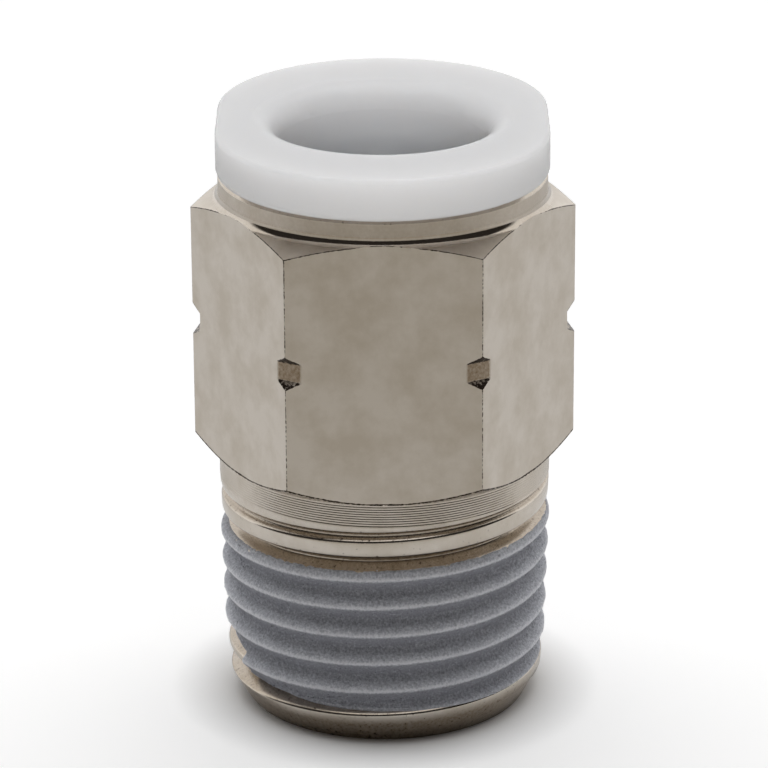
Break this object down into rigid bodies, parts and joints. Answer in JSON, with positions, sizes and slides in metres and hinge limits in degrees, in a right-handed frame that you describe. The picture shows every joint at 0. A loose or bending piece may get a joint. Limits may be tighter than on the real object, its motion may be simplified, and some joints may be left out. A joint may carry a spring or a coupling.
{
  "type": "straight push-in fitting",
  "caption": "Straight push-in fitting with a hexagon body, taper pipe thread and oval release button for plastic tube.",
  "frame": {"origin": "middle of the foot of the thread, at the bottom of the fitting", "axes": "+Z along the tube axis towards the release button; two flats of the hexagon face +Y and -Y; the long way of the oval button lies along Y"},
  "size_m": [0.0114, 0.0124, 0.0182],
  "materials": {
    "plated_brass": "satin nickel plating with fine turning marks",
    "sealant": "dried speckled grey thread sealant",
    "seal_rubber": "smooth nitrile rubber",
    "inner_resin": "moulded acetal",
    "spring_steel": "stamped stainless spring sheet",
    "guide_metal": "nickel-plated turned ring",
    "button_resin": "white moulded acetal"
  },
  "bodies": {
    "fitting body": {"hex_body": "plated_brass", "thread_sealant": "sealant", "tube_seal": "seal_rubber", "spacer_ring": "inner_resin", "guide_ring": "guide_metal"},
    "grip ring": {"grip_ring": "spring_steel"},
    "release button": {"release_button": "button_resin"}
  },
  "joints": [
    {"name": "grip_turn", "type": "hinge", "parent": "fitting body", "child": "grip ring", "pos_m": [0, 0, 0.01446], "axis": [0, 0, 1], "continuous": true},
    {"name": "button_press", "type": "slide", "parent": "grip ring", "child": "release button", "axis": [0, 0, -1], "range_m": [-0.0005, 0.0003], "stiffness_N_per_m": 5000, "deforming": ["grip_ring"]}
  ]
}
